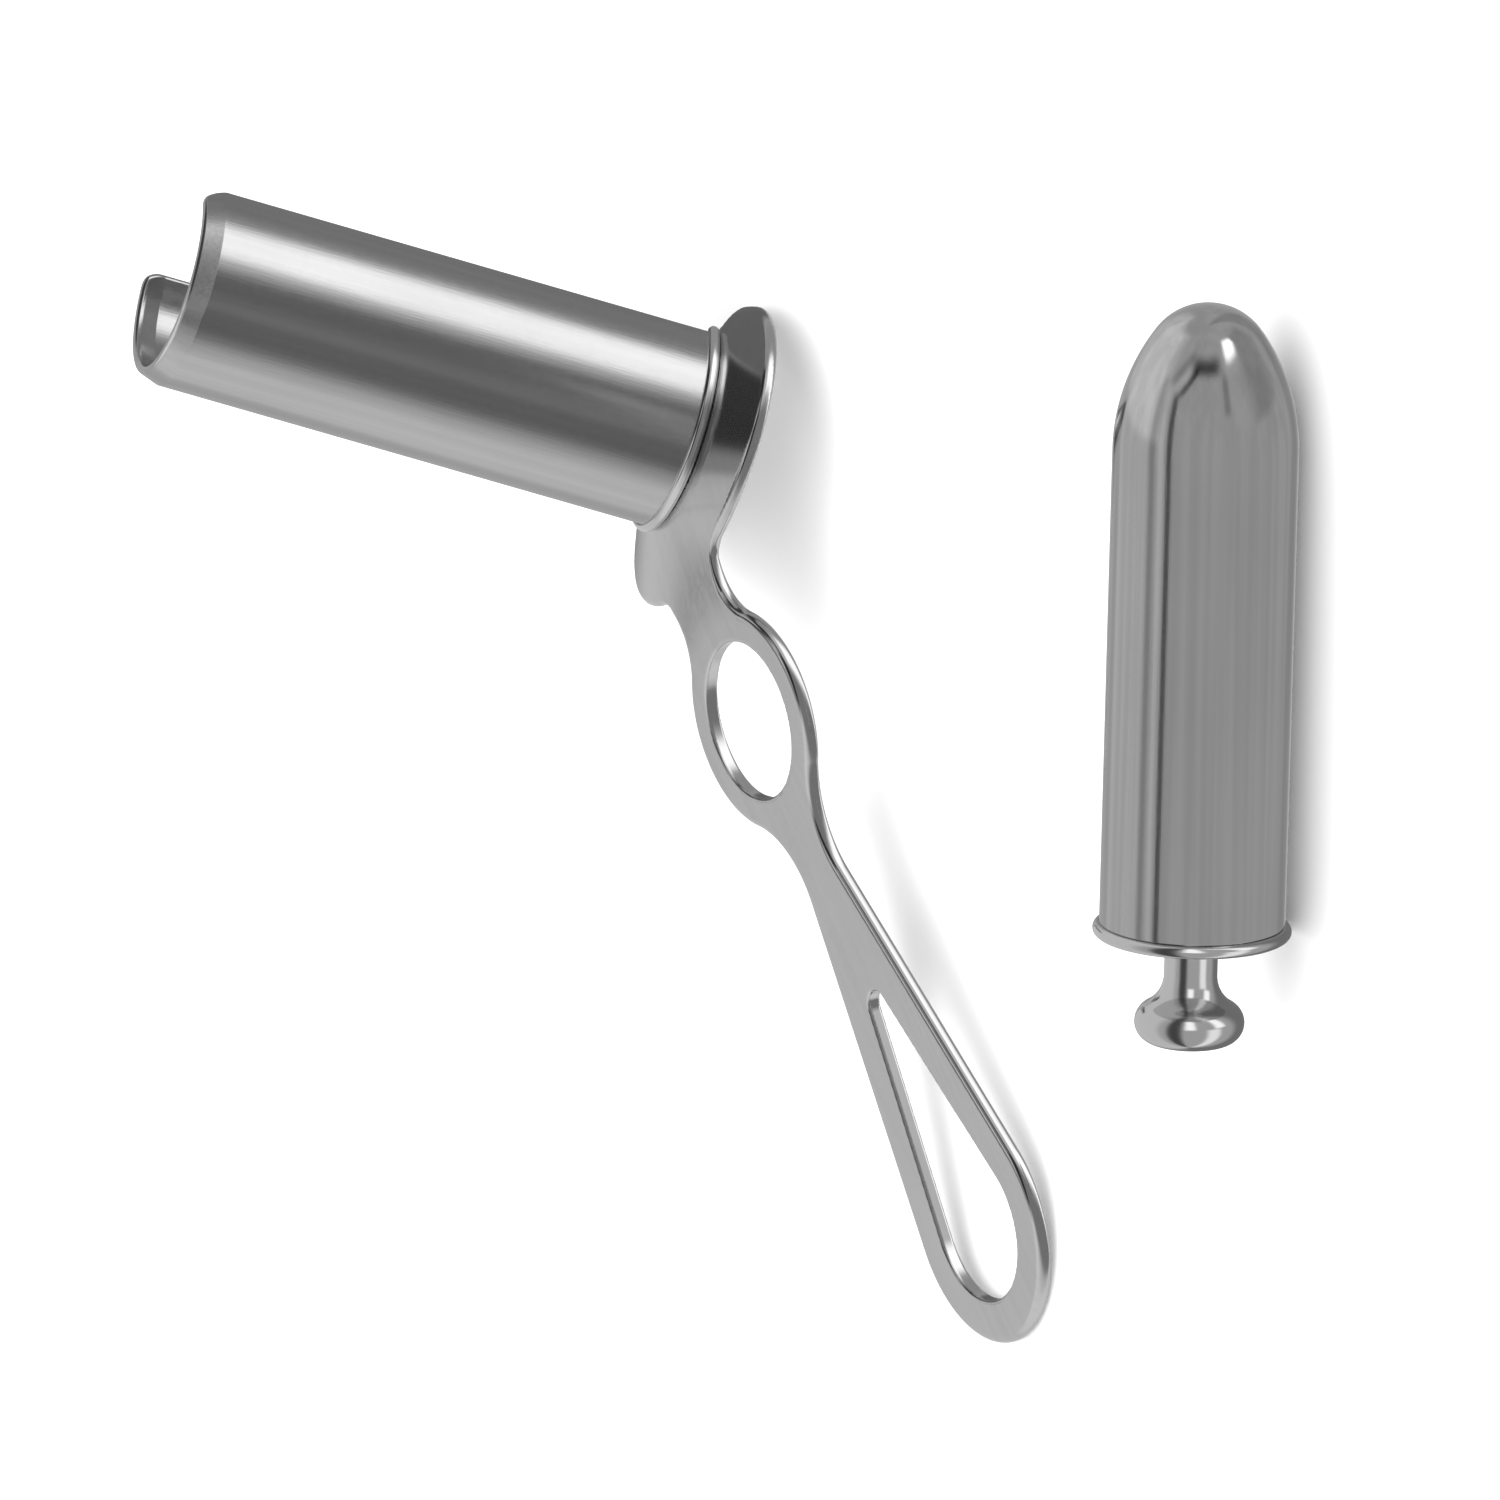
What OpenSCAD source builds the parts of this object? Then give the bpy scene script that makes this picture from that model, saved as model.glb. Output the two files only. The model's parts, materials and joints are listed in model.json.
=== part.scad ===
// Slotted anal speculum with a finger-ring handle, and its obturator lying beside it.
// Each piece is drawn in its own instrument frame and then laid on the table at z = 0.
// Speculum frame: tube axis on Z, slot towards +X, handle towards -X, throat plane at z = 0.
// Obturator frame: axis on Z, flange face at z = 0, dome towards +Z.

/* [Tube] */
// Outer diameter of the slotted tube
tube_od = 29; // [24:0.5:34]
// Wall of the tube
tube_wall = 1.3; // [1:0.1:1.8]
// Length of the tube from the throat to its distal rim
tube_len = 73; // [55:1:90]
// Angle that the slot takes out of the tube's wall
slot_angle = 118; // [60:2:140]
// Radius of the slot's corners at the distal rim
slot_corner_r = 2.5; // [1:0.5:4]
// Length of the distal lip that turns inwards
lip_len = 3; // [2:0.5:5]
// How far the distal lip turns inwards
lip_in = 0.8; // [0.4:0.1:1.2]

/* [Collar] */
// Height of the bead ring round the foot of the tube
collar_h = 1.5; // [1.2:0.1:2.5]
// How far the bead ring stands proud of the tube
collar_proud = 0.9; // [0.7:0.1:1.2]

/* [Funnel] */
// How far the rim stands out past the tube on the slot side
rim_out_front = 0.9; // [0.5:0.1:3]
// How far the rim stands out past the tube at each side
rim_out_side = 10.5; // [7:0.5:14]
// Depth of the rim's upper edge below the throat
rim_drop = 3.5; // [2.5:0.25:5]
// Height of the rim's edge
rim_edge = 1.5; // [1:0.1:2]
// Wall left between the rim's outline and the mouth
rim_wall = 1.1; // [0.8:0.1:1.4]
// Length of the straight land in the throat
throat_land = 0.8; // [0.5:0.1:1.5]

/* [Handle] */
// Thickness of the handle plate
plate_t = 2; // [1.8:0.1:2.6]
// Angle between the handle and the tube's axis, below the throat plane
handle_angle = 58.6; // [52:0.2:66]
// Height above the throat at which the plate's face meets the tube
plate_rise = 2; // [1.6:0.1:2.4]
// Diameter of the finger hole
finger_hole_d = 21.4; // [18:0.2:24]
// Width of the ring round the finger hole
finger_ring_w = 4.4; // [3:0.2:6]
// Distance from the tube to the centre of the finger hole
finger_at = 32.1; // [30:0.5:40]
// Width of the neck between funnel and finger ring
neck_w = 14.6; // [11:0.2:18]
// Distance from the tube to the neck's narrowest place
neck_at = 14.6; // [13.5:0.1:15.5]
// Width of the waist between finger ring and loop
waist_w = 9.9; // [8:0.1:13]
// Distance from the tube to the waist's narrowest place
waist_at = 54.3; // [53:0.5:58]
// Width of the loop at the end of the handle
loop_w = 32.4; // [26:0.2:36]
// Distance from the tube to the centre of the loop's round end
loop_at = 108.8; // [95:0.5:120]
// Width of the loop's teardrop eye at its round end
eye_w = 20.6; // [14:0.2:23]
// Width of the eye's narrow end
eye_tip_w = 4.6; // [3:0.2:6]
// Distance between the centres of the eye's two round ends
eye_len = 33; // [24:0.5:38]

/* [Obturator] */
// Gap between the obturator and the tube's lip, all round
obturator_gap = 0.25; // [0.15:0.05:0.6]
// Wall of the obturator's hollow body
obturator_wall = 1.2; // [0.8:0.1:1.6]
// How far the dome reaches past the tube's distal rim when it is seated
dome_reach = 10; // [8:0.5:20]
// Length of the dome
dome_len = 19.8; // [16:0.2:28]
// Radius of the dome's tip
dome_tip_r = 8.5; // [6:0.25:9.5]
// How far the flange stands out past the body
flange_out = 0.85; // [0.8:0.05:2]
// Thickness of the flange
flange_t = 1.7; // [1.2:0.1:3]
// Diameter of the knob
knob_d = 14.4; // [11:0.2:18]
// Height of the knob with its neck
knob_h = 14.4; // [13:0.2:20]
// Diameter of the knob's neck
neck_d = 7; // [5:0.2:9]
// Thickness of the knob's rounded head
knob_head_h = 5.6; // [4:0.2:8]
// Radius of the hollow between the knob's neck and its head
knob_hollow_r = 4.5; // [3.5:0.25:5.5]
// Turn of the obturator on the table, from the tube's side of the handle
obturator_turn = -40; // [-60:1:-30]
// Place of the obturator's flange on the table, along the handle, from the rim's foot
obturator_x = -135.5; // [-160:0.5:-60]
// Place of the obturator's flange on the table, across the handle
obturator_y = -100; // [-130:0.5:-80]

/* [Hidden] */
$fn = 96;
// Overlap that lets a cut run clear through a face
cut = 1;
// Step by which one face is kept off another that would lie in the same plane
hair = 0.05;

tube_r = tube_od / 2;
bore_r = tube_r - tube_wall;
collar_r = tube_r + collar_proud;
slot_w = tube_od * sin(slot_angle / 2);
slot_depth_x = bore_r * cos(slot_angle / 2);
// Radius of the land in the throat, which guides the obturator and stops its flange
land_r = bore_r - lip_in + hair;

// Plate: local +X runs down the handle from the tube's wall, local +Z is its distal face
function plate_point(s, below = 0) =
    [-tube_r - s * sin(handle_angle) + below * cos(handle_angle), 0,
     plate_rise - s * cos(handle_angle) - below * sin(handle_angle)];
finger_r = finger_hole_d / 2;
ring_r = finger_r + finger_ring_w;
loop_r = loop_w / 2;
eye_r = eye_w / 2;
eye_tip_r = eye_tip_w / 2;

// Radius of the hollow that is tangent to the finger ring and leaves half width w at distance s
function hollow_r(s, w) =
    ((s - finger_at) * (s - finger_at) + w * w - ring_r * ring_r) / (2 * (ring_r - w));
neck_r = hollow_r(neck_at, neck_w / 2);
waist_r = hollow_r(waist_at, waist_w / 2);
neck_c = [neck_at, neck_w / 2 + neck_r];
waist_c = [waist_at, waist_w / 2 + waist_r];
ring_c = [finger_at, 0];
loop_c = [loop_at, 0];
eye_tip_c = [loop_at - eye_len, 0];

// Point of the circle round c with radius r, towards the point p
function toward(c, p, r) = c + r * (p - c) / norm(p - c);
// Point where the line that passes between two circles touches the first one
function cross_touch(a, ra, b, rb) =
    let (d = b - a, turn = atan2(d[1], d[0]) - acos((ra + rb) / norm(d)))
    a + ra * [cos(turn), sin(turn)];
// Half angle of the taper that touches two circles on one axis from outside
function taper(r1, r2, d) = asin((r2 - r1) / d);

waist_touch = cross_touch(waist_c, waist_r, loop_c, loop_r);
loop_touch = cross_touch(loop_c, loop_r, waist_c, waist_r);
eye_taper = taper(eye_tip_r, eye_r, eye_len);

// Rim: an ellipse that meets the plate's face on the handle side
rim_reach = (plate_rise + rim_drop) * tan(handle_angle);
rim_front = tube_r + rim_out_front;
rim_back = tube_r + rim_reach;
rim_rx = (rim_front + rim_back) / 2;
rim_ry = tube_r + rim_out_side;
rim_cx = (rim_front - rim_back) / 2;
rim_foot = -rim_drop - rim_edge;
throat_r = tube_r + 0.1;

// Obturator
body_r = bore_r - lip_in - obturator_gap;
flange_r = body_r + flange_out;
body_len = tube_len + dome_reach;
straight_len = body_len - dome_len;
knob_r = knob_d / 2;
stem_r = neck_d / 2;
head_r = knob_head_h / 2;
head_c = [knob_r - head_r, knob_h - head_r];
hollow_x = stem_r + knob_hollow_r;
hollow_c = [hollow_x, head_c[1] - sqrt(pow(knob_hollow_r + head_r, 2) - pow(hollow_x - head_c[0], 2))];

// Rest of the speculum: the rim's foot and the handle's end both touch the table
handle_end = plate_point(loop_at + loop_r, plate_t);
lean = atan2(rim_foot - handle_end[2], rim_front - handle_end[0]);
// Rest of the obturator: the flange and the start of the dome both touch the table
tip_down = atan2(flange_out, straight_len);

// Middle of the footprint of both pieces, from the rim's foot
middle = [-63.96, -65.75, 0];

module rest() {
    translate(-middle)
        rotate([0, lean, 0])
            translate([-rim_front, 0, -rim_foot])
                children();
}

module beside() {
    translate([obturator_x, obturator_y, 0] - middle)
        rotate([0, 0, obturator_turn])
            rotate([0, 90 + tip_down, 0])
                translate([-flange_r, 0, 0])
                    children();
}

// Straight run of wall in a profile, from a to b, with rounded ends
module wall_run(a, b, t) {
    n = t / 2 * [b[1] - a[1], a[0] - b[0]] / norm(b - a);
    polygon([a + n, b + n, b - n, a - n]);
    translate(b) circle(d = t);
}

module tube_profile() {
    mid_r = tube_r - tube_wall / 2;
    bend = [mid_r, tube_len - lip_len];
    translate([bore_r, 0]) square([tube_wall, tube_len - lip_len]);
    translate(bend) circle(d = tube_wall);
    wall_run(bend, [mid_r - lip_in, tube_len - tube_wall / 2], tube_wall);
}

// What a rounded corner of the slot loses, drawn at the slot's edge on the side given
module slot_corner(side) {
    rotate([0, 0, side * slot_angle / 2])
        translate([bore_r - lip_in - cut, 0, tube_len])
            rotate([90, 0, 90])
                linear_extrude(tube_wall + lip_in + 2 * cut)
                    difference() {
                        translate([side > 0 ? -cut : -slot_corner_r, -slot_corner_r])
                            square([slot_corner_r + cut, slot_corner_r + cut]);
                        translate([side * slot_corner_r, -slot_corner_r]) circle(slot_corner_r);
                    }
}

// Turns a profile round the axis and leaves the slot open
module turn_to_slot() {
    rotate([0, 0, slot_angle / 2])
        rotate_extrude(angle = 360 - slot_angle)
            children();
}

module slotted_tube() {
    color("silver") rest()
        difference() {
            turn_to_slot() tube_profile();
            slot_corner(1);
            slot_corner(-1);
        }
}

module collar_ring() {
    bead_r = collar_h / 2;
    color("gainsboro") rest()
        turn_to_slot() {
            translate([tube_r, 0]) square([collar_proud - bead_r, collar_h]);
            translate([collar_r - bead_r, bead_r]) intersection() {
                circle(bead_r);
                translate([0, -bead_r]) square([bead_r, collar_h]);
            }
        }
}

// Half outline of the plate as straight runs between the places where arcs touch
module plate_outline() {
    flank = [
        [-tube_wall / 2, 0],
        [0, neck_w / 3],
        [neck_at - neck_w / 6, neck_w / 2],
        toward(neck_c, ring_c, neck_r),
        ring_c + [0, ring_r - finger_ring_w],
        toward(waist_c, ring_c, waist_r),
        waist_touch,
        loop_touch,
        loop_c
    ];
    difference() {
        union() {
            polygon(concat(flank, [for (i = [len(flank) - 2 : -1 : 1]) [flank[i][0], -flank[i][1]]]));
            translate(ring_c) circle(ring_r);
            translate(loop_c) circle(loop_r);
        }
        for (side = [-1, 1]) {
            translate([neck_c[0], side * neck_c[1]]) circle(neck_r);
            translate([waist_c[0], side * waist_c[1]]) circle(waist_r);
        }
    }
}

// Teardrop eye of the loop: its sides run a hair inside the tangents, so that they cross the arcs
module eye_outline() {
    up = [-sin(eye_taper), cos(eye_taper)];
    down = [up[0], -up[1]];
    translate(eye_tip_c) circle(eye_tip_r);
    translate(loop_c) circle(eye_r);
    polygon([eye_tip_c + (eye_tip_r - hair) * up, loop_c + (eye_r - hair) * up,
             loop_c + (eye_r - hair) * down, eye_tip_c + (eye_tip_r - hair) * down]);
}

module on_plate() {
    translate(plate_point(0))
        rotate([0, 90 + handle_angle, 0])
            mirror([0, 0, 1])
                children();
}

module plate() {
    on_plate()
        difference() {
            translate([0, 0, -plate_t]) linear_extrude(plate_t) plate_outline();
            translate([finger_at, 0, -plate_t - cut]) cylinder(r = finger_r, h = plate_t + 2 * cut);
            translate([0, 0, -plate_t - cut]) linear_extrude(plate_t + 2 * cut) eye_outline();
        }
}

// Outer form of the funnel: throat, rim and the flat tongue that runs into the neck
module funnel_form($fn = 48) {
    rise = plate_rise - hair;
    tilt = atan2(rise, 2 * throat_r);
    tongue_end = neck_at - 3;
    hull() {
        translate([0, 0, rise / 2 + hair])
            rotate([0, tilt, 0])
                cylinder(r = throat_r / cos(tilt), h = hair, center = true);
        translate([rim_cx, 0, rim_foot])
            scale([rim_rx, rim_ry, 1]) cylinder(r = 1, h = rim_edge);
        on_plate()
            translate([tongue_end - 1, -neck_w * 0.4, -plate_t + hair])
                cube([1, neck_w * 0.8, plate_t - 2 * hair]);
    }
}

// Hollow mouth of the funnel
module funnel_mouth($fn = 48) {
    hull() {
        translate([0, 0, -throat_land]) cylinder(r = bore_r, h = hair);
        translate([rim_cx, 0, rim_foot - cut])
            scale([rim_rx - rim_wall, rim_ry - rim_wall, 1]) cylinder(r = 1, h = cut);
    }
}

module funnel_handle() {
    color("lightgray") rest()
        difference() {
            union() {
                plate();
                funnel_form();
            }
            funnel_mouth();
            translate([0, 0, rim_foot]) cylinder(r = land_r, h = tube_r);
            cylinder(r = collar_r + hair, h = tube_r);
            translate([slot_depth_x, -slot_w / 2, -rim_drop]) cube([tube_r, slot_w, tube_r]);
        }
}

// Outline of the obturator's body, made smaller all round by inset
module body_profile(inset) {
    r = body_r - inset;
    tip_r = dome_tip_r - inset;
    rise = dome_len - dome_tip_r;
    // Radius of the dome's flank, which runs into both the wall and the tip
    flank_r = (body_r * body_r + rise * rise - dome_tip_r * dome_tip_r)
        / (2 * (body_r - dome_tip_r)) - inset;
    flank_x = body_r - flank_r - inset;
    touch = toward([flank_x, 0], [0, rise], flank_r);
    square([r, straight_len]);
    translate([0, straight_len]) {
        intersection() {
            translate([flank_x, 0]) circle(flank_r, $fn = 360);
            square([r, touch[1]]);
        }
        intersection() {
            translate([0, rise]) circle(tip_r);
            translate([0, touch[1]]) square([r, dome_len]);
        }
    }
}

module obturator_body() {
    color("darkgray") beside()
        rotate_extrude()
            difference() {
                body_profile(0);
                body_profile(obturator_wall);
                translate([0, -cut]) square([body_r - obturator_wall, 2 * cut]);
            }
}

module obturator_flange() {
    edge_r = flange_t / 2;
    color("gainsboro") beside()
        translate([0, 0, -flange_t])
            rotate_extrude() {
                square([flange_r - edge_r, flange_t]);
                translate([flange_r - edge_r, edge_r]) circle(edge_r);
            }
}

// Turned profile: a neck that widens in a hollow curve to a rounded head
module knob_profile() {
    difference() {
        polygon([[0, 0], [stem_r, 0], [stem_r, hollow_c[1]], toward(hollow_c, head_c, knob_hollow_r),
                 head_c, [head_c[0], knob_h], [0, knob_h]]);
        translate(hollow_c) circle(knob_hollow_r);
    }
    intersection() {
        translate(head_c) circle(head_r);
        translate([stem_r, 0]) square([knob_r, knob_h]);
    }
}

module obturator_knob() {
    color("silver") beside()
        translate([0, 0, -flange_t])
            mirror([0, 0, 1])
                rotate_extrude() knob_profile();
}

slotted_tube();
collar_ring();
funnel_handle();
obturator_body();
obturator_flange();
obturator_knob();
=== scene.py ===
import json
import math

import bpy
import numpy as np
from mathutils import Matrix, Vector


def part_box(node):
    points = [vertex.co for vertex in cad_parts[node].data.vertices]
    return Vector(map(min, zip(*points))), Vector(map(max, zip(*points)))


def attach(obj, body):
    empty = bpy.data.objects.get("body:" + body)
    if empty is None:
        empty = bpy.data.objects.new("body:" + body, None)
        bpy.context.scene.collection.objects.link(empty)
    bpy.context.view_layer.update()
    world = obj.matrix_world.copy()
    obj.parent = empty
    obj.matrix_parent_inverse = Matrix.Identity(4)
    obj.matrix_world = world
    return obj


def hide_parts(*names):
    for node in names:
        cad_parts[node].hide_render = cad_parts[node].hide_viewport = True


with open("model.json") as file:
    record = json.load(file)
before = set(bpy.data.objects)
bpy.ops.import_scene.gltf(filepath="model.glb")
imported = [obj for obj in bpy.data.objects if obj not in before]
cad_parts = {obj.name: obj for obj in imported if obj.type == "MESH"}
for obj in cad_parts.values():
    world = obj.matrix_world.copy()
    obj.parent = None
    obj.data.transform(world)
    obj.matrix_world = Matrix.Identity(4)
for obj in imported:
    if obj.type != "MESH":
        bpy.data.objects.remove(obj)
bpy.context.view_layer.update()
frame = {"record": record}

# Sizes in millimetres, in the speculum's own frame: tube on Z, slot to +X, handle to -X, throat at 0
MM = 0.001
TUBE_R = 14.5
WALL = 1.3
BORE_R = TUBE_R - WALL
TUBE_LEN = 73.0
SLOT_HALF = math.radians(59.0)
SLOT_CORNER_R = 2.5
LIP_LEN = 3.0
LIP_IN = 0.8
BEAD_R = 0.75
BEAD_OUT = 0.9
LAND_R = 12.45
LAND_H = 0.8
RIM_DROP = 3.5
RIM_FOOT = 5.0
RIM_RX = 19.44
RIM_RY = 25.0
RIM_CX = -4.04
MOUTH_RX = RIM_RX - 1.1
MOUTH_RY = RIM_RY - 1.1
MOUTH_LEN = 5.2

# Handle, in its own plane: S runs down the handle from the tube's wall, T across, N out of its face
HANDLE_ANGLE = math.radians(58.6)
PLATE_T = 2.0
PLATE_RISE = 2.0
FINGER_AT = 32.1
FINGER_R = 10.7
RING_R = 15.1
NECK_AT = 14.6
NECK_HALF = 7.3
WAIST_AT = 54.3
WAIST_HALF = 4.95
LOOP_AT = 108.8
LOOP_R = 16.2
EYE_R = 10.3
EYE_TIP_R = 2.3
EYE_LEN = 33.0

# Obturator: axis on Z, flange face at 0, dome to +Z
BODY_R = 12.15
BODY_LEN = 83.0
DOME_LEN = 19.8
DOME_TIP_R = 8.5
FLANGE_R = 13.0
FLANGE_T = 1.7
KNOB_R = 7.2
KNOB_H = 14.4
KNOB_HEAD_R = 2.8
STEM_R = 3.5
HOLLOW_R = 4.5
OBTURATOR_TURN = math.radians(-40.0)


# Rounded joins of distance fields: below zero is metal
def cut_round(a, b, r):
    """Where both a and b are below zero, with the edge between them rounded to radius r."""
    return np.minimum(-r, np.maximum(a, b)) + np.hypot(np.maximum(a + r, 0), np.maximum(b + r, 0))


def join_round(a, b, r):
    """Where a or b is below zero, with the inner corner between them filled to radius r."""
    return np.maximum(r, np.minimum(a, b)) - np.hypot(np.maximum(r - a, 0), np.maximum(r - b, 0))


def cut_soft(a, b, k):
    """Where both are below zero, blended over the width k, for a crease that can hardly be seen."""
    h = np.maximum(k - np.abs(a - b), 0) / k
    return np.maximum(a, b) + h * h * k / 4


def segment(x, y, a, b):
    """Distance from the segment a-b in a plane."""
    dx, dy = b[0] - a[0], b[1] - a[1]
    share = np.clip(((x - a[0]) * dx + (y - a[1]) * dy) / (dx * dx + dy * dy), 0, 1)
    return np.hypot(x - a[0] - share * dx, y - a[1] - share * dy)


def slot_keep(x, y):
    """Below zero outside the slot's wedge."""
    return x * math.sin(SLOT_HALF) - np.abs(y) * math.cos(SLOT_HALF)


def tube_field(x, y, z):
    r = np.hypot(x, y)
    mid = TUBE_R - WALL / 2
    bend = (mid, TUBE_LEN - LIP_LEN)
    wall = np.minimum(segment(r, z, (mid, -1.0), bend),
                      segment(r, z, bend, (mid - LIP_IN, TUBE_LEN - WALL / 2))) - WALL / 2
    edge = cut_round(slot_keep(x, y), z - TUBE_LEN - 0.6, SLOT_CORNER_R + 0.6)
    return np.maximum(cut_round(wall, edge, 0.55), -z)


def bead_field(x, y, z):
    r = np.hypot(x, y)
    ring = np.hypot(r - (TUBE_R + BEAD_OUT - BEAD_R), z - BEAD_R) - BEAD_R
    return cut_round(np.maximum(ring, TUBE_R - 0.3 - r), slot_keep(x, y), 0.3)


def hollow_radius(at, half):
    return ((at - FINGER_AT) ** 2 + half ** 2 - RING_R ** 2) / (2 * (RING_R - half))


def toward(c, p, r):
    """Point of the circle round c with radius r, towards the point p."""
    return c + r * (p - c) / np.linalg.norm(p - c)


def cross_touch(a, ra, b, rb):
    """Point where the line that passes between two circles touches the first one."""
    d = b - a
    turn = math.atan2(d[1], d[0]) - math.acos((ra + rb) / np.linalg.norm(d))
    return a + ra * np.array([math.cos(turn), math.sin(turn)])


RING_C = np.array([FINGER_AT, 0.0])
LOOP_C = np.array([LOOP_AT, 0.0])
NECK_R = hollow_radius(NECK_AT, NECK_HALF)
WAIST_R = hollow_radius(WAIST_AT, WAIST_HALF)
NECK_C = np.array([NECK_AT, NECK_HALF + NECK_R])
WAIST_C = np.array([WAIST_AT, WAIST_HALF + WAIST_R])
NECK_TO_RING = toward(NECK_C, RING_C, NECK_R)[0]
RING_TO_WAIST = toward(WAIST_C, RING_C, WAIST_R)[0]
WAIST_TOUCH = cross_touch(WAIST_C, WAIST_R, LOOP_C, LOOP_R)
LOOP_TOUCH = cross_touch(LOOP_C, LOOP_R, WAIST_C, WAIST_R)


def handle_outline(s, t):
    """Distance from the handle's outline: neck, finger ring, waist, straight flank and round end."""
    t = np.abs(t)
    flank = (LOOP_TOUCH - WAIST_TOUCH) / np.linalg.norm(LOOP_TOUCH - WAIST_TOUCH)
    start = NECK_AT - 0.93 * NECK_R
    neck = NECK_R - np.hypot(np.maximum(s, start) - NECK_C[0], np.minimum(t, NECK_C[1]) - NECK_C[1])
    ring = np.hypot(s - FINGER_AT, t) - RING_R
    waist = WAIST_R - np.hypot(s - WAIST_C[0], t - WAIST_C[1])
    line = (t - WAIST_TOUCH[1]) * flank[0] - (s - WAIST_TOUCH[0]) * flank[1]
    loop = np.hypot(s - LOOP_AT, t) - LOOP_R
    return np.select([s < NECK_TO_RING, s < RING_TO_WAIST, s < WAIST_TOUCH[0], s < LOOP_TOUCH[0]],
                     [neck, ring, waist, line], loop)


def eye_outline(s, t):
    """Distance from the teardrop eye, which tapers from its round end to its narrow one."""
    t = np.abs(t)
    lean = (EYE_R - EYE_TIP_R) / EYE_LEN
    rise = math.sqrt(1 - lean * lean)
    u = LOOP_AT - s
    along = u * rise - t * lean
    return np.where(along < 0, np.hypot(u, t) - EYE_R,
                    np.where(along > EYE_LEN * rise, np.hypot(u - EYE_LEN, t) - EYE_TIP_R,
                             u * lean + t * rise - EYE_R))


def flare(x, y, z, depth, start, end_x, end_y, shift):
    """Distance from an oval cone that opens from a circle to an ellipse over the depth given."""
    q = -z / depth
    a = start + (end_x - start) * q
    b = start + (end_y - start) * q
    a, b = np.maximum(a, 1.0), np.maximum(b, 1.0)
    px, py = (x - shift * q) / a, y / b
    rho = np.maximum(np.hypot(px, py), 1e-3)
    slope_z = (shift * px / a + (end_x - start) * px * px / a + (end_y - start) * py * py / b) / depth
    steep = np.sqrt((px / a) ** 2 + (py / b) ** 2 + slope_z ** 2) / rho
    return (rho - 1) / steep


def oval(x, y, rx, ry, cx):
    px, py = (x - cx) / rx, y / ry
    rho = np.maximum(np.hypot(px, py), 1e-3)
    return (rho - 1) * rho / np.hypot(px / rx, py / ry)


def to_plate(x, y, z):
    dx, dz = x + TUBE_R, z - PLATE_RISE
    sin, cos = math.sin(HANDLE_ANGLE), math.cos(HANDLE_ANGLE)
    return -dx * sin - dz * cos, y, -dx * cos + dz * sin


def from_plate(s, t, n):
    sin, cos = math.sin(HANDLE_ANGLE), math.cos(HANDLE_ANGLE)
    return -TUBE_R - s * sin - n * cos, t, PLATE_RISE - s * cos + n * sin


def funnel_handle_field(x, y, z):
    s, t, n = to_plate(x, y, z)
    cone = flare(x, y, z, RIM_DROP, TUBE_R, RIM_RX, RIM_RY, RIM_CX)
    top = cut_soft(n, cone, 1.6)
    top = np.maximum(top, z)
    strip = np.maximum(handle_outline(s, t), -n - PLATE_T)
    dish = cut_round(oval(x, y, RIM_RX, RIM_RY, RIM_CX), -RIM_FOOT - z, 0.7)
    side = np.where(s > 5, handle_outline(s, t), 10.0)
    strip = cut_round(side, -n - PLATE_T, 0.7)
    edge = 0.7 + 0.45 * np.clip((s - 12) / 4, 0, 1)
    body = cut_round(join_round(strip, dish, 1.2), top, edge)
    holes = np.minimum(np.hypot(s - FINGER_AT, t) - FINGER_R, eye_outline(s, t))
    body = cut_round(body, -holes, 0.4)
    mouth = flare(x, y, z + LAND_H, MOUTH_LEN, BORE_R, MOUTH_RX, MOUTH_RY, RIM_CX)
    mouth = np.maximum(np.maximum(mouth, z + LAND_H), -RIM_FOOT - 1.5 - z)
    hollow = np.minimum(mouth, np.hypot(x, y) - LAND_R)
    body = cut_round(body, -hollow, 0.3)
    slot = np.maximum(np.maximum(np.abs(y) - TUBE_R * math.sin(SLOT_HALF), 6.8 - x), -RIM_DROP - z)
    return cut_round(body, -slot, 0.3)


def gradient(field, p, h=0.01):
    g = np.empty_like(p)
    for axis in range(3):
        step = np.zeros(3)
        step[axis] = h
        g[:, axis] = field(*(p + step).T) - field(*(p - step).T)
    return g / (2 * h)


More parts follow.
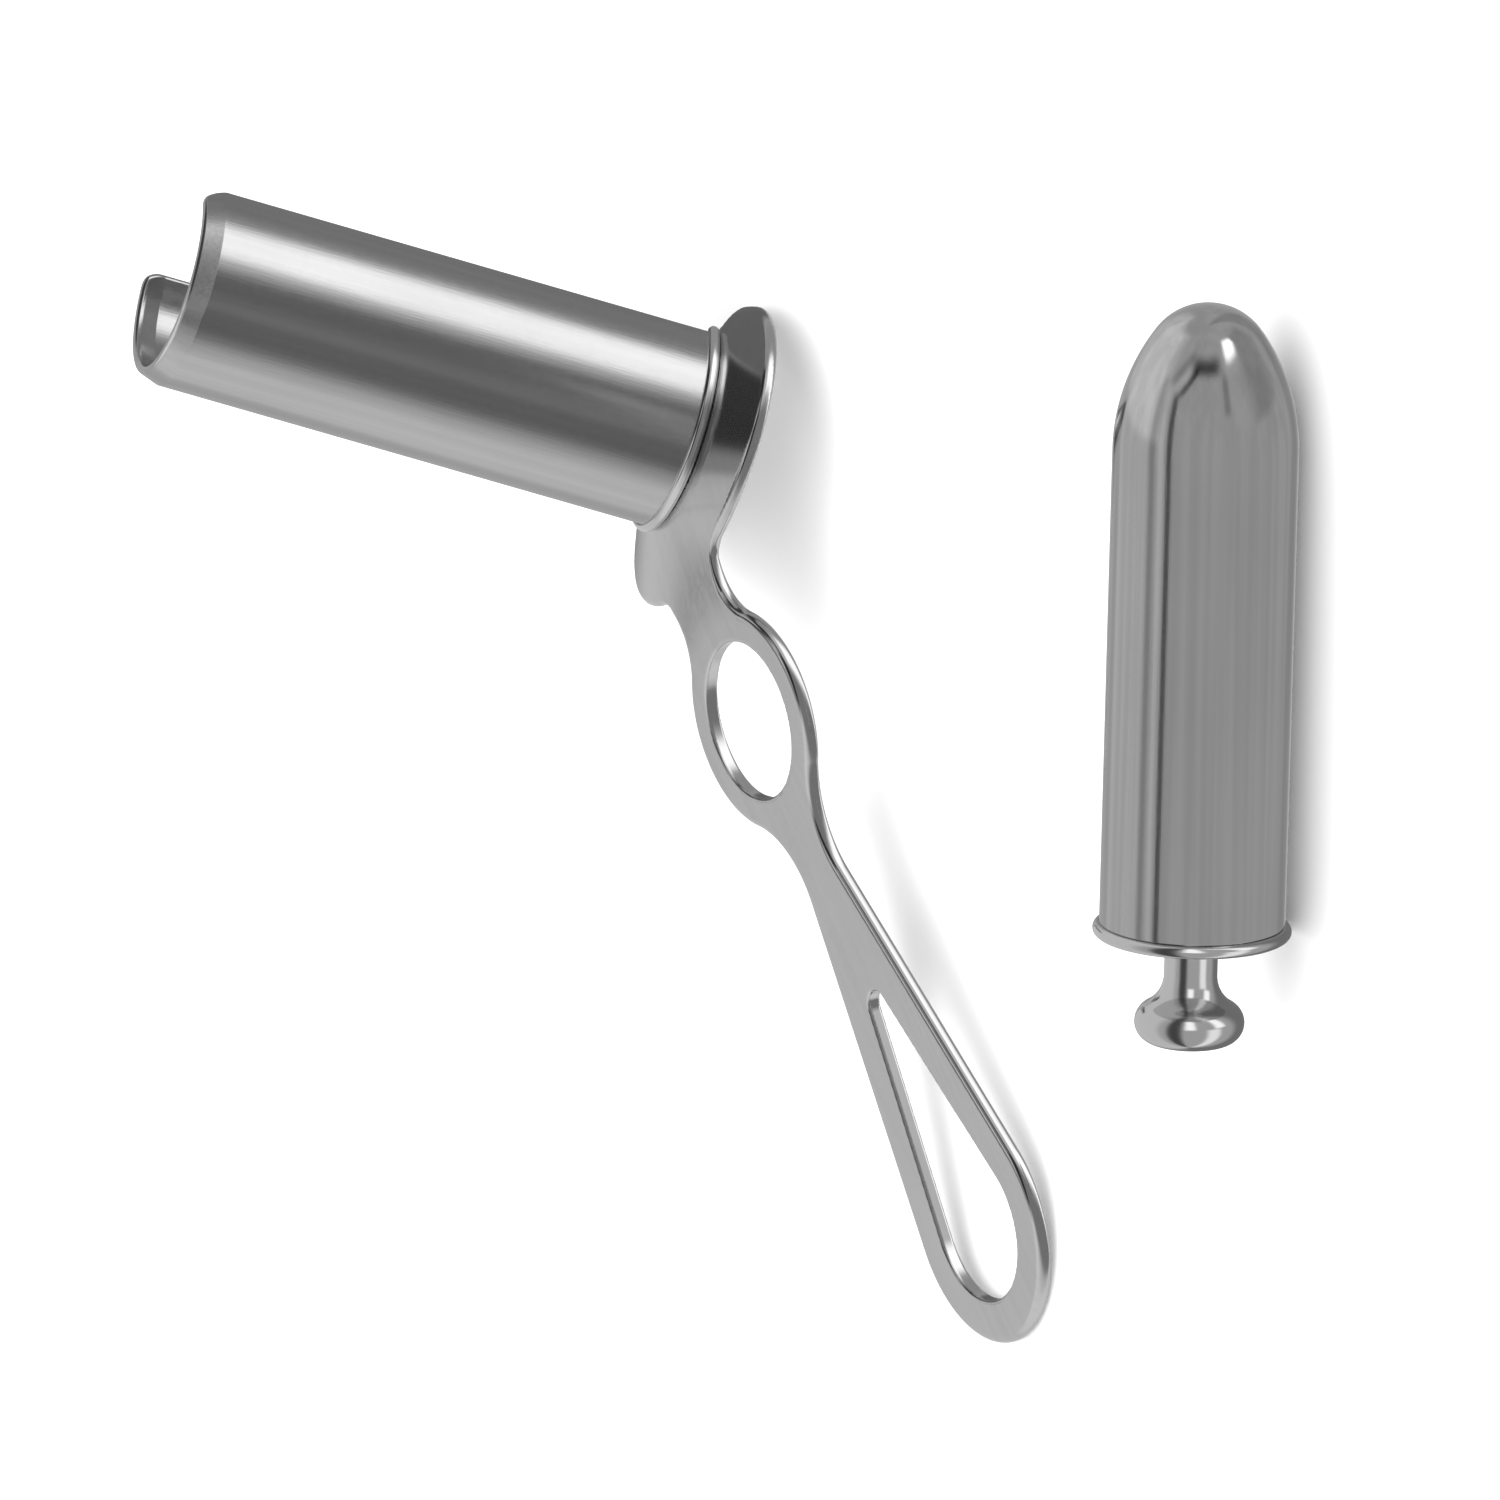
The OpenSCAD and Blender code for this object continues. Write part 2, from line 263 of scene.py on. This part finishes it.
def surface_net(field, place, axes):
    """Quads round the zero level of a field, sampled on a grid whose points place() puts in space."""
    grid = place(*np.meshgrid(*axes, indexing="ij"))
    value = field(*grid)
    spots = np.stack(grid, -1)
    inside = value < 0
    total = np.zeros(tuple(n - 1 for n in value.shape) + (3,))
    count = np.zeros(total.shape[:3])
    faces = []
    for axis in range(3):
        ends = [slice(None)] * 3
        starts = [slice(None)] * 3
        ends[axis], starts[axis] = slice(1, None), slice(None, -1)
        f0, f1 = value[tuple(starts)], value[tuple(ends)]
        change = inside[tuple(starts)] != inside[tuple(ends)]
        share = np.where(change, f0 / np.where(f0 == f1, 1, f0 - f1), 0)[..., None]
        cross = spots[tuple(starts)] * (1 - share) + spots[tuple(ends)] * share
        cross = np.where(change[..., None], cross, 0)
        others = [a for a in range(3) if a != axis]
        for da in (0, 1):
            for db in (0, 1):
                part = [slice(None)] * 3
                part[others[0]] = slice(da, value.shape[others[0]] - 1 + da)
                part[others[1]] = slice(db, value.shape[others[1]] - 1 + db)
                total += cross[tuple(part)]
                count += change[tuple(part)]
        faces.append((axis, others, np.argwhere(change), inside[tuple(starts)][change]))
    used = count > 0
    number = np.full(used.shape, -1, np.int64)
    number[used] = np.arange(used.sum())
    points = total[used] / count[used][:, None]
    quads = []
    for axis, others, edges, starts_inside in faces:
        corner = []
        for da, db in ((0, 0), (-1, 0), (-1, -1), (0, -1)):
            cell = edges.copy()
            cell[:, others[0]] += da
            cell[:, others[1]] += db
            corner.append(cell)
        ok = np.all([np.all((c >= 0) & (c < used.shape), axis=1) for c in corner], axis=0)
        quad = np.stack([number[tuple(c[ok].T)] for c in corner], 1)
        turn = starts_inside[ok] != (axis == 1)
        quad[turn] = quad[turn][:, ::-1]
        quads.append(quad)
    return points, np.concatenate(quads)


def spread(*stops):
    """Grid positions through the stops given, as (position, step to the next) pairs."""
    out = [np.array([stops[0][0]])]
    for (a, step), (b, _) in zip(stops, stops[1:]):
        out.append(np.linspace(a, b, max(2, round((b - a) / step) + 1))[1:])
    return np.concatenate(out)


def to_mesh(name, points, faces, normals, polish=None):
    mesh = bpy.data.meshes.new(name)
    mesh.from_pydata(points.tolist(), [], faces if isinstance(faces, list) else faces.tolist())
    mesh.validate()
    mesh.shade_smooth()
    mesh.normals_split_custom_set_from_vertices(normals.tolist())
    if polish is not None:
        layer = mesh.attributes.new("polish", "FLOAT", "POINT")
        layer.data.foreach_set("value", polish.astype(np.float32))
    piece = bpy.data.objects.new(name, mesh)
    bpy.context.scene.collection.objects.link(piece)
    return piece


def outward(points, faces, normals):
    """The faces, turned so that each one's own normal agrees with the field's."""
    a, b, c = (points[faces[:, i]] for i in (0, 1, 2))
    own = np.cross(b - a, c - b)
    wrong = np.einsum("ij,ij->i", own, normals[faces[:, 0]]) < 0
    faces = faces.copy()
    faces[wrong] = faces[wrong][:, ::-1]
    return faces


def cast(name, field, place, axes, turn, shift, polish=None):
    """A piece made from a field: netted, pulled exactly onto the surface and laid at rest."""
    points, faces = surface_net(field, place, axes)
    for _ in range(4):
        g = gradient(field, points)
        f = field(*points.T)
        move = f[:, None] * g / np.maximum((g * g).sum(1), 0.05)[:, None]
        length = np.linalg.norm(move, axis=1, keepdims=True)
        points = points - move * np.minimum(1, 0.4 / np.maximum(length, 1e-9))
    g = gradient(field, points)
    normals = g / np.maximum(np.linalg.norm(g, axis=1), 1e-9)[:, None]
    faces = outward(points, faces, normals)
    shine = polish(points, normals) if polish else None
    return to_mesh(name, (points @ turn.T + shift) * MM, faces, normals @ turn.T, shine)


def plain_place(x, y, z):
    return x, y, z


def round_place(angle, r, z):
    return r * np.cos(angle), r * np.sin(angle), z


# Where the two pieces lie, read from the frame
hole = frame["record"]["mounts"][0]
lean = math.atan2(hole["axis"][0], hole["axis"][2]) + math.atan2(math.cos(HANDLE_ANGLE), math.sin(HANDLE_ANGLE))
REST_TURN = np.array(Matrix.Rotation(lean, 3, "Y"))
hole_here = np.array(from_plate(FINGER_AT, 0.0, -PLATE_T / 2))
REST_SHIFT = np.array(hole["pos_m"]) / MM - REST_TURN @ hole_here


def lay_obturator():
    """Turn and place of the obturator's own frame, from where its flange lies."""
    low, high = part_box("obturator_flange")
    centre = (np.array(low) + np.array(high)) / 2 / MM
    down = math.atan2(FLANGE_R - BODY_R, BODY_LEN - DOME_LEN)
    turn = Matrix.Rotation(OBTURATOR_TURN, 3, "Z") @ Matrix.Rotation(math.pi / 2 + down, 3, "Y")
    turn = np.array(turn)
    return turn, centre + turn @ np.array([0, 0, FLANGE_T / 2])


def arc(centre, r, start, end, count=12):
    turns = np.linspace(math.radians(start), math.radians(end), count)
    return [(centre[0] + r * math.cos(a), centre[1] + r * math.sin(a)) for a in turns]


def turned(name, profile, turn, shift, segments=192):
    """A turned piece: the profile runs from the axis, round the outside, back to the axis."""
    rz = np.array(profile)
    keep = np.concatenate([[True], np.hypot(*np.diff(rz, axis=0).T) > 1e-4])
    rz = rz[keep]
    step = np.gradient(rz, axis=0)
    slope = np.stack([step[:, 1], -step[:, 0]], 1)
    slope /= np.linalg.norm(slope, axis=1)[:, None]
    slope[0], slope[-1] = (0, np.sign(slope[0, 1])), (0, np.sign(slope[-1, 1]))
    rings = rz[1:-1]
    angles = np.arange(segments) * 2 * math.pi / segments
    c, s = np.cos(angles), np.sin(angles)
    points = [np.array([0, 0, rz[0, 1]])]
    normals = [np.array([0, 0, slope[0, 1]])]
    for (r, z), (nr, nz) in zip(rings, slope[1:-1]):
        points += list(np.stack([r * c, r * s, np.full(segments, z)], 1))
        normals += list(np.stack([nr * c, nr * s, np.full(segments, nz)], 1))
    points.append(np.array([0, 0, rz[-1, 1]]))
    normals.append(np.array([0, 0, slope[-1, 1]]))
    points, normals = np.array(points), np.array(normals)
    faces = []
    last = len(points) - 1
    for k in range(segments):
        k2 = (k + 1) % segments
        faces.append((0, 1 + k2, 1 + k))
        for ring in range(len(rings) - 1):
            base, above = 1 + ring * segments, 1 + (ring + 1) * segments
            faces.append((base + k, base + k2, above + k2, above + k))
        base = 1 + (len(rings) - 1) * segments
        faces.append((base + k, base + k2, last))
    return to_mesh(name, (points @ turn.T + shift) * MM, faces, normals @ turn.T)


def obturator_profiles():
    rise = DOME_LEN - DOME_TIP_R
    flank_r = (BODY_R ** 2 + rise ** 2 - DOME_TIP_R ** 2) / (2 * (BODY_R - DOME_TIP_R))
    straight = BODY_LEN - DOME_LEN
    flank_c = (BODY_R - flank_r, straight)
    meet = math.degrees(math.atan2(rise, flank_r - BODY_R))
    body = [(0, 0), (BODY_R - 0.2, 0)] + arc((BODY_R - 0.2, 0.2), 0.2, -90, 0, 5)
    body += [(BODY_R, z) for z in np.linspace(1, straight, 30)]
    body += arc(flank_c, flank_r, 0, meet, 40)
    body += arc((0, straight + rise), DOME_TIP_R, meet, 89.9, 30) + [(0, BODY_LEN)]
    edge = FLANGE_T / 2
    flange = [(0, -FLANGE_T), (FLANGE_R - edge, -FLANGE_T)]
    flange += arc((FLANGE_R - edge, -edge), edge, -90, 90, 24) + [(0, 0)]
    head_c = np.array([KNOB_R - KNOB_HEAD_R, KNOB_H - KNOB_HEAD_R])
    hollow_x = STEM_R + HOLLOW_R
    hollow_c = np.array([hollow_x, head_c[1] - math.sqrt((HOLLOW_R + KNOB_HEAD_R) ** 2
                                                         - (hollow_x - head_c[0]) ** 2)])
    meet = math.degrees(math.atan2(*(head_c - hollow_c)[::-1]))
    knob = [(0, 0.0), (STEM_R, 0.0)] + [(STEM_R, z) for z in np.linspace(0.3, hollow_c[1], 8)]
    knob += arc(hollow_c, HOLLOW_R, 180, meet, 24)
    knob += arc(head_c, KNOB_HEAD_R, meet - 180, 90, 40) + [(0, KNOB_H)]
    knob = [(r, -FLANGE_T - z) for r, z in knob][::-1]
    return {"obturator_body": body, "obturator_flange": flange, "obturator_knob": knob}


# Shader maths as Python expressions
class Flow:
    """A socket of a node tree, with the operators that this script uses."""

    def __init__(self, tree, socket):
        self.tree, self.socket = tree, socket

    def math(self, operation, *values):
        return self.tree.node("ShaderNodeMath", {"operation": operation}, dict(enumerate(values)))

    def __add__(self, other):
        return self.math("ADD", self, other)

    def __radd__(self, other):
        return self.math("ADD", other, self)

    def __sub__(self, other):
        return self.math("SUBTRACT", self, other)

    def __rsub__(self, other):
        return self.math("SUBTRACT", other, self)

    def __mul__(self, other):
        return self.math("MULTIPLY", self, other)

    def __rmul__(self, other):
        return self.math("MULTIPLY", other, self)

    def smooth(self, low, high):
        """0 below low, 1 above high, eased between."""
        settings = {"interpolation_type": "SMOOTHSTEP"}
        return self.tree.node("ShaderNodeMapRange", settings, {"Value": self, "From Min": low, "From Max": high})


class Tree:
    """A material's node tree, cleared, with one way to add a node."""

    def __init__(self, owner):
        owner.use_nodes = True
        self.nodes, self.links = owner.node_tree.nodes, owner.node_tree.links
        self.nodes.clear()

    def raw(self, kind, settings=None, inputs=None):
        node = self.nodes.new(kind)
        for key, value in (settings or {}).items():
            setattr(node, key, value)
        for key, value in (inputs or {}).items():
            socket = node.inputs[key]
            if isinstance(value, Flow):
                self.links.new(value.socket, socket)
            else:
                socket.default_value = value
        return node

    def node(self, kind, settings=None, inputs=None, output=0):
        return Flow(self, self.raw(kind, settings, inputs).outputs[output])

    def close(self, shader, kind="ShaderNodeOutputMaterial"):
        self.raw(kind, None, {"Surface": shader})


def steel(name, tint, rough_low, rough_high, grain_turn, grain_depth, streak=0.0, polished_edge=False):
    """Stainless steel: fine grain and wider streaks along one axis, soft clouds in its sheen, bright where polished."""
    material = bpy.data.materials.new(name)
    tree = Tree(material)
    here = tree.node("ShaderNodeTexCoord", output="Object")

    def noise(scale, turn=(0, 0, 0), detail=2.0):
        lie = tree.node("ShaderNodeMapping", {"vector_type": "TEXTURE"},
                        {"Vector": here, "Rotation": turn, "Scale": scale})
        return tree.node("ShaderNodeTexNoise", None, {"Vector": lie, "Scale": 1.0, "Detail": detail})

    grain = noise((0.004, 0.0002, 0.0002), grain_turn, 3.0)
    bands = noise((0.11, 0.0016, 0.0016), grain_turn).smooth(0.3, 0.7)
    clouds = noise((0.018, 0.018, 0.018))
    worn = noise((0.0011, 0.0011, 0.0011)).smooth(0.35, 0.75)
    rough = rough_low + (rough_high - rough_low) * (grain * 0.45 + clouds * 0.3 + worn * 0.25)
    level = 1 - streak * bands - 0.03 * clouds.smooth(0.3, 0.7)
    shade = tree.node("ShaderNodeMix", {"data_type": "RGBA"},
                      {"Factor": level, 6: (0, 0, 0, 1), 7: (*tint, 1)}, output=2)
    depth = grain
    if polished_edge:
        polish = tree.node("ShaderNodeAttribute", {"attribute_name": "polish"}, output="Fac")
        rough = rough * (1 - polish) + 0.13 * polish
        depth = grain * (1 - polish)
    shader = {"Base Color": shade, "Metallic": 1.0, "Roughness": rough}
    if grain_depth:
        shader["Normal"] = tree.node("ShaderNodeBump", None,
                                     {"Height": depth, "Strength": grain_depth, "Distance": 0.00004})
    tree.close(tree.node("ShaderNodeBsdfPrincipled", None, shader))
    return material


def dress(piece, node, material):
    piece.data.materials.clear()
    piece.data.materials.append(material)
    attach(piece, "root")
    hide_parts(node)


def polish_of_handle(points, normals):
    """1 on the rounded edges, in the holes and on the flared funnel, 0 on the handle's flat faces."""
    face = from_plate(0, 0, 1)
    face = np.array(face) - np.array(from_plate(0, 0, 0))
    flat = np.abs(normals @ face)
    return 1 - np.clip((flat - 0.93) / 0.05, 0, 1)


def build_pieces():
    fine = math.radians(0.5)
    span = (SLOT_HALF, 2 * math.pi - SLOT_HALF)
    inset = math.radians(6)
    angles = spread((span[0] - 2 * fine, fine), (span[0] + inset, math.radians(1.5)),
                    (span[1] - inset, fine), (span[1] + 2 * fine, 0))
    tube = cast("tube_shell", tube_field, round_place,
                (angles, spread((11.9, 0.22), (14.9, 0)),
                 spread((-0.5, 0.25), (0.5, 1.4), (67.0, 0.3), (73.6, 0))), REST_TURN, REST_SHIFT)
    bead = cast("bead", bead_field, round_place,
                (angles, spread((14.0, 0.12), (15.6, 0)), spread((-0.25, 0.12), (1.75, 0))), REST_TURN, REST_SHIFT)
    pitch = 0.42
    handle = cast("pressed_handle", funnel_handle_field, from_plate,
                  (spread((-25.0, pitch), (126.0, 0)), spread((-26.0, pitch), (26.0, 0)),
                   spread((-22.5, pitch), (-2.4, 0.25), (0.6, 0))), REST_TURN, REST_SHIFT, polish_of_handle)
    along = (0, lean - math.pi / 2, 0)
    satin = steel("satin tube", (0.66, 0.66, 0.66), 0.14, 0.26, along, 0.2, 0.07)
    bright = steel("polished steel", (0.7, 0.7, 0.7), 0.05, 0.1, along, 0.0)
    turned_bright = steel("turned polish", (0.7, 0.7, 0.7), 0.1, 0.16, (0, 0, OBTURATOR_TURN), 0.0)
    pressed = steel("pressed steel", (0.66, 0.66, 0.66), 0.14, 0.3, (0, lean + HANDLE_ANGLE - math.pi / 2, 0), 0.3, 0.04, True)
    fine_satin = steel("turned satin", (0.55, 0.55, 0.55), 0.07, 0.14, (0, 0, OBTURATOR_TURN), 0.06, 0.12)
    dress(tube, "slotted_tube", satin)
    dress(bead, "collar_ring", bright)
    dress(handle, "funnel_handle", pressed)
    groups = {"tube_steel": [tube], "handle_steel": [handle, bead], "obturator_steel": [], "knob_steel": []}
    turn, shift = lay_obturator()
    for node, profile in obturator_profiles().items():
        piece = turned(node.replace("obturator", "turned"), profile, turn, shift)
        body = node == "obturator_body"
        slot = "obturator_steel" if body else "knob_steel"
        dress(piece, node, fine_satin if body else turned_bright)
        groups[slot].append(piece)
    return groups


def floor_material():
    material = bpy.data.materials.new("floor")
    tree = Tree(material)
    tree.close(tree.node("ShaderNodeBsdfDiffuse", None, {"Color": (0.93, 0.93, 0.93, 1)}))
    return material


# Light tents: what the polish of one group of pieces sees, in degrees round an axis that is laid through it.
# A strip is (angle, half its width, softness, from, to, change, lean); from and to are heights along the axis,
# -1 to 1, and lean is how far the strip turns over a height of 1
TUBE_WAY = ((0.404, 0.0, 0.915), (0.915, 0.0, -0.404))
OBTURATOR_WAY = ((0.766, -0.643, 0.0), (0.643, 0.766, 0.0))
TENTS = {
    "tube_steel": (*TUBE_WAY, 0.46, [
        (-66, 11, 14, -0.6, 0.35, 0.98), (-88, 7, 11, -0.6, 0.35, 0.16), (-75, 30, 15, -2, -0.6, -0.26),
        (-162, 9, 8, 0.28, 0.45, -0.32), (-115, 18, 18, 0.28, 0.45, 0.14), (-14, 25, 16, -2, 0.35, -0.22),
        (-138, 42, 12, -2, 0.35, -0.31), (-138, 6, 6, -2, 0.35, 0.06), (136, 24, 11, -2, 0.35, 0.22),
        (-70, 76, 14, 0.45, 2, -0.4), (135, 36, 10, 0.45, 2, 0.46)]),
    "handle_steel": (*TUBE_WAY, 0.66, [
        (-57, 12, 15, -2, 0.5, 0.95), (-8, 22, 16, -2, 2, -0.3), (-130, 40, 12, -2, 2, -0.42),
        (145, 22, 11, -2, 2, 0.15), (41, 20, 8, -0.2, 2, -0.5), (84, 1.8, 1.6, 0.5, 0.64, -0.6),
        (0, 90, 0, 0.84, 0.96, -0.55), (180, 90, 0, 0.84, 0.96, -0.55)]),
    "obturator_steel": (*OBTURATOR_WAY, 0.51, [
        (50, 28, 4, -2, 0.8, 0.16), (45, 45, 12, 0, 0.86, 0.22), (85.5, 3.5, 2, -2, 0.5, -0.16),
        (97.5, 3, 2, -2, 0.45, 0.16), (108.5, 3, 2, -2, 0.42, -0.4), (19, 4, 3, 0.5, 0.75, -0.16, 100),
        (31, 3.5, 2.5, 0.46, 0.7, 0.16, 100), (43, 3.5, 2.5, 0.43, 0.64, -0.4, 100),
        (150, 24, 12, 0.63, 0.74, -0.44), (182, 3, 3, 0.3, 0.6, -0.2), (204, 7, 11, 0.69, 0.83, 2.2),
        (242, 20, 12, 0.15, 0.85, -0.14), (297, 12, 6, -2, 2, -0.14)]),
    "knob_steel": (*OBTURATOR_WAY, 0.45, [
        (40, 45, 12, -2, 2, 0.2), (122, 12, 10, -2, 2, -0.38), (156, 7, 9, 0.2, 2, 0.9),
        (206, 9, 11, -2, 0.15, 0.6), (222, 8, 9, 0.2, 2, 0.9), (300, 40, 15, -2, 2, -0.25)]),
}


def tent_material(name, axis, start, base, strips, see_through):
    """A pale tent with soft dark and bright strips, as a studio for polished steel has."""
    material = bpy.data.materials.new(name)
    tree = Tree(material)
    here = tree.node("ShaderNodeTexCoord", output="Object")
    way = tree.node("ShaderNodeVectorMath", {"operation": "NORMALIZE"}, {0: here})

    def along(direction):
        return tree.node("ShaderNodeVectorMath", {"operation": "DOT_PRODUCT"}, {0: way, 1: direction}, output="Value")

    axis = Vector(axis).normalized()
    start = Vector(start).normalized()
    height = along(axis)
    across, aside = along(start), along(axis.cross(start))
    reach = height.math("SQRT", 1.0001 - height * height)
    level = base
    for angle, half, soft, low, high, change, *tilt in strips:
        if tilt:
            middle = math.radians(angle) + math.radians(tilt[0]) * (height + 0.26)
            c, s = height.math("COSINE", middle), height.math("SINE", middle)
        else:
            c, s = math.cos(math.radians(angle)), math.sin(math.radians(angle))
        cosine = reach.math("DIVIDE", across * c + aside * s, reach)
        inner = math.cos(math.radians(max(half - soft, 0))) + 0.0001
        outer = math.cos(math.radians(half + soft))
        part = cosine.smooth(outer, inner) * change
        if low > -1:
            part = part * height.smooth(low - 0.05, low + 0.05)
        if high < 1:
            part = part * (1 - height.smooth(high - 0.05, high + 0.05))
        level = level + part
    light = tree.node("ShaderNodeEmission", None, {"Color": (1, 1, 1, 1), "Strength": height.math("MAXIMUM", level, 0.03)})
    if see_through:
        light = tree.node("ShaderNodeAddShader", None, {0: light, 1: tree.node("ShaderNodeBsdfTransparent")})
    tree.close(light)
    material.cycles.emission_sampling = "NONE"
    return material


def add_tent(slot, members, radius, outermost):
    """A sphere that lights only its own pieces, and only in their reflections."""
    bpy.ops.mesh.primitive_uv_sphere_add(segments=64, ring_count=32, radius=radius)
    tent = bpy.context.object
    tent.name = "tent_" + slot
    tent.data.materials.append(tent_material(tent.name, *TENTS[slot], not outermost))
    tent.visible_camera = tent.visible_diffuse = tent.visible_shadow = False
    tent.visible_transmission = tent.visible_volume_scatter = False
    lit = bpy.data.collections.new("lit by " + tent.name)
    for piece in members:
        lit.objects.link(piece)
    tent.light_linking.receiver_collection = lit


def build_stage(groups):
    wide = 4.0
    mesh = bpy.data.meshes.new("floor")
    mesh.from_pydata([(-wide, -wide, 0), (wide, -wide, 0), (wide, wide, 0), (-wide, wide, 0)], [], [(0, 1, 2, 3)])
    floor = bpy.data.objects.new("floor", mesh)
    bpy.context.scene.collection.objects.link(floor)
    mesh.materials.append(floor_material())
    floor.visible_glossy = False
    for number, (slot, members) in enumerate(groups.items()):
        add_tent(slot, members, 2.0 + 0.1 * number, number == len(groups) - 1)


def add_lamp(name, place, size, power):
    data = bpy.data.lights.new(name, "AREA")
    data.shape, data.size, data.energy = "DISK", size, power
    lamp = bpy.data.objects.new(name, data)
    bpy.context.scene.collection.objects.link(lamp)
    lamp.location = place
    lamp.rotation_euler = (-Vector(place)).to_track_quat("-Z", "Y").to_euler()
    lamp.visible_glossy = False


def build_light():
    world = bpy.data.worlds.new("studio")
    bpy.context.scene.world = world
    tree = Tree(world)
    tree.close(tree.node("ShaderNodeBackground", None, {"Color": (1, 1, 1, 1), "Strength": 1.7}),
               "ShaderNodeOutputWorld")
    add_lamp("overhead", (0.2, 0.3, 1.6), 1.2, 2)
    bpy.context.scene.view_settings.view_transform = "Standard"


# Camera axes as the photograph has them: right and up in the picture, and back to the camera
VIEW_RIGHT = Vector((-0.2757, -0.3487, -0.8957))
VIEW_UP = Vector((0.8922, -0.4397, -0.1034))
LOOK_AT_HERE = (-36.587, 15.801, -20.315)
VIEW_FAR = 5333.3
LENS = 960.0


def build_camera():
    right = VIEW_RIGHT.normalized()
    back = right.cross(VIEW_UP).normalized()
    up = back.cross(right)
    look_at = (REST_TURN @ np.array(LOOK_AT_HERE) + REST_SHIFT) * MM
    place = Vector(look_at) + back * VIEW_FAR * MM
    data = bpy.data.cameras.new("camera")
    data.lens, data.sensor_width, data.clip_end = LENS, 36.0, 50.0
    camera = bpy.data.objects.new("camera", data)
    bpy.context.scene.collection.objects.link(camera)
    camera.matrix_world = Matrix.Translation(place) @ Matrix((right, up, back)).transposed().to_4x4()
    bpy.context.scene.camera = camera


build_stage(build_pieces())
build_light()
build_camera()
